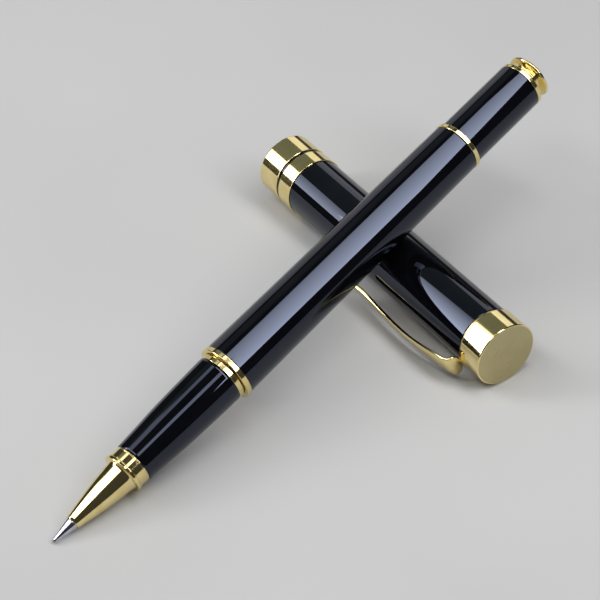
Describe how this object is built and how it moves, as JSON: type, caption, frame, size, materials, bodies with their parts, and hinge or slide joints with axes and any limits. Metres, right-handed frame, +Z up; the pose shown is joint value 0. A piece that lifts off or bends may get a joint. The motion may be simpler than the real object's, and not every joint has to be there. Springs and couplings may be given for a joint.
{
  "type": "rollerball pen",
  "caption": "Uncapped rollerball pen in black lacquer with gold trim, leaning across its own clip-on cap.",
  "frame": {"origin": "on the table under the middle of the whole arrangement of pen and cap", "axes": "+X along the length of the arrangement, towards the pen's tail; +Y along the cap from crown to mouth; +Z up"},
  "size_m": [0.1168, 0.0654, 0.0283],
  "materials": {
    "gold_plate": "polished gold plate",
    "black_lacquer": "high gloss lacquer",
    "steel_point": "polished steel",
    "carbide_ball": "polished",
    "brass_plain": "turned brass",
    "black_plastic": "moulded plastic",
    "refill_tube": "drawn tube",
    "ink_fibre": "ink-soaked fibre",
    "spring_steel": "bright wire",
    "seal_rubber": "rubber"
  },
  "bodies": {
    "cap": {"crown": "gold_plate", "crown_stud": "spring_steel", "clip_ring": "brass_plain", "cap_insert": "brass_plain", "inner_sleeve": "black_plastic", "cap_tube": "black_lacquer", "rear_mouth_band": "gold_plate", "front_mouth_band": "gold_plate"},
    "clip": {"clip": "gold_plate"},
    "section": {"nose_cone": "gold_plate", "nose_collar": "gold_plate", "grip_section": "black_lacquer", "section_sleeve": "brass_plain", "seal_ring": "seal_rubber", "section_trim_ring": "gold_plate"},
    "tail_spring": {"refill_spring": "spring_steel"},
    "barrel": {"barrel_trim_ring": "gold_plate", "barrel_bush": "brass_plain", "barrel_tube": "black_lacquer", "barrel_ring": "gold_plate", "tail_connector": "brass_plain", "tail_tube": "black_lacquer", "tail_plug": "brass_plain", "tail_ring": "gold_plate", "end_finial": "gold_plate"},
    "refill": {"refill_point": "steel_point", "refill_adaptor": "black_plastic", "refill_tube": "refill_tube", "ink_reservoir": "ink_fibre", "refill_plug": "black_plastic"},
    "ball": {"writing_ball": "carbide_ball"}
  },
  "joints": [
    {"name": "pen_lift", "type": "slide", "parent": "cap", "child": "section", "axis": [0, 0, 1], "range_m": [0, 0.06]},
    {"name": "clip_flex", "type": "hinge", "parent": "cap", "child": "clip", "pos_m": [0.01588, -0.02717, 0.00416], "axis": [-0.309, 0, 0.9511], "range_deg": [0, 7], "stiffness_Nm_per_rad": 0.04, "springref_deg": -5.73},
    {"name": "barrel_travel", "type": "slide", "parent": "section", "child": "tail_spring", "axis": [0.9664, 0.1659, 0.1963], "range_m": [0, 0.005]},
    {"name": "barrel_twist", "type": "hinge", "parent": "tail_spring", "child": "barrel", "pos_m": [0.04656, 0.00319, 0.02195], "axis": [0.9664, 0.1659, 0.1963], "range_deg": [0, 1800]},
    {"name": "refill_press", "type": "slide", "parent": "section", "child": "refill", "axis": [0.9664, 0.1659, 0.1963], "range_m": [0, 0.001], "stiffness_N_per_m": 300, "springref_m": -0.002, "deforming": ["refill_spring"]},
    {"name": "ball_roll", "type": "hinge", "parent": "refill", "child": "ball", "pos_m": [-0.05803, -0.01476, 0.00071], "axis": [0.1692, -0.9856, 0], "continuous": true}
  ],
  "couplings": [
    {"joint": "barrel_travel", "follows": "barrel_twist", "m_per_rad": 0.00015915}
  ]
}
